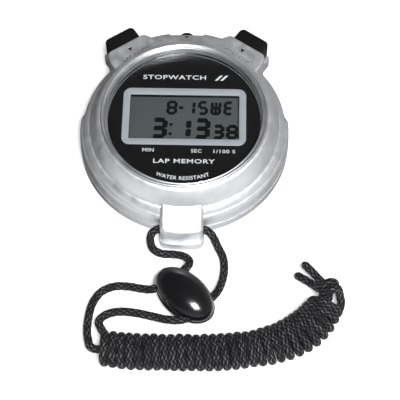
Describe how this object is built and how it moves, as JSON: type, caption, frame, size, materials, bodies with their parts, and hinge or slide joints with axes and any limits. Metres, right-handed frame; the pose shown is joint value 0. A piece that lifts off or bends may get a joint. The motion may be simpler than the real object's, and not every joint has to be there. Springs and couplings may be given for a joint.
{
  "type": "stopwatch",
  "caption": "Round digital hand stopwatch with side and top push buttons, a rectangular display, a lug, and a black neck cord with an oval bead and a wrapped hank.",
  "frame": {"origin": "where the dial's axis meets the plane of the case's back, on which the stopwatch lies", "axes": "+Z out of the dial, +Y from the dial's centre to the mode button at 12 o'clock, +X to the right of the dial"},
  "size_m": [0.0809, 0.1144, 0.0171],
  "materials": {
    "case_silver": "satin silver lacquer on ABS",
    "bezel_silver": "bright silver plating on ABS",
    "lens_clear": "clear, polished",
    "dial_black": "smooth black print",
    "frame_grey": "satin light grey",
    "display_glass": "grey-green liquid crystal panel",
    "holder_white": "moulded",
    "rubber_black": "matt",
    "board_green": "solder resist",
    "resin_black": "moulded resin",
    "ceramic_tan": "ceramic",
    "steel_bright": "bright",
    "buzzer_brass": "bright",
    "button_black": "satin black",
    "toggle_black": "polished black",
    "cord_black": "braided polyester cord"
  },
  "bodies": {
    "case": {"front_case": "case_silver", "back_case": "case_silver", "bezel_ring": "bezel_silver", "lens": "lens_clear", "dial_plate": "dial_black", "window_frame": "frame_grey", "lcd_panel": "display_glass", "lcd_holder": "holder_white", "lcd_connector_upper": "rubber_black", "lcd_connector_lower": "rubber_black", "case_gasket": "rubber_black", "left_button_seal": "rubber_black", "right_button_seal": "rubber_black", "circuit_board": "board_green", "timer_chip": "resin_black", "left_switch": "resin_black", "right_switch": "resin_black", "mode_switch": "resin_black", "capacitor_1": "ceramic_tan", "capacitor_2": "ceramic_tan", "quartz_crystal": "steel_bright", "battery": "steel_bright", "battery_contact_negative": "steel_bright", "battery_contact_positive": "steel_bright", "left_button_spring": "steel_bright", "right_button_spring": "steel_bright", "mode_button_spring": "steel_bright", "board_screw_1": "steel_bright", "board_screw_2": "steel_bright", "board_screw_3": "steel_bright", "board_screw_4": "steel_bright", "case_screw_1": "steel_bright", "case_screw_2": "steel_bright", "case_screw_3": "steel_bright", "case_screw_4": "steel_bright", "buzzer_disc": "buzzer_brass", "buzzer_spring": "buzzer_brass", "toggle_top": "toggle_black", "toggle_base": "toggle_black", "cord_left": "cord_black", "cord_right": "cord_black", "cord_tail_upper": "cord_black", "cord_tail_lower": "cord_black", "lanyard_hank": "cord_black"},
    "left_button": {"left_button": "button_black"},
    "right_button": {"right_button": "button_black"},
    "mode_button": {"mode_button": "button_black"},
    "battery_cover": {"battery_cover": "case_silver", "battery_cover_seal": "rubber_black"}
  },
  "joints": [
    {"name": "left_button_press", "type": "slide", "parent": "case", "child": "left_button", "axis": [0.5592, -0.829, 0], "range_m": [0, 0.0012], "stiffness_N_per_m": 1200, "springref_m": -0.0005, "deforming": ["left_button_spring"]},
    {"name": "right_button_press", "type": "slide", "parent": "case", "child": "right_button", "axis": [-0.5592, -0.829, 0], "range_m": [0, 0.0012], "stiffness_N_per_m": 1200, "springref_m": -0.0005, "deforming": ["right_button_spring"]},
    {"name": "mode_button_press", "type": "slide", "parent": "case", "child": "mode_button", "axis": [0, -1, 0], "range_m": [0, 0.0007], "stiffness_N_per_m": 900, "springref_m": -0.0005, "deforming": ["mode_button_spring"]},
    {"name": "battery_cover_turn", "type": "hinge", "parent": "case", "child": "battery_cover", "pos_m": [0, -0.0139, 0.0014], "axis": [0, 0, 1], "range_deg": [-45, 0]}
  ]
}
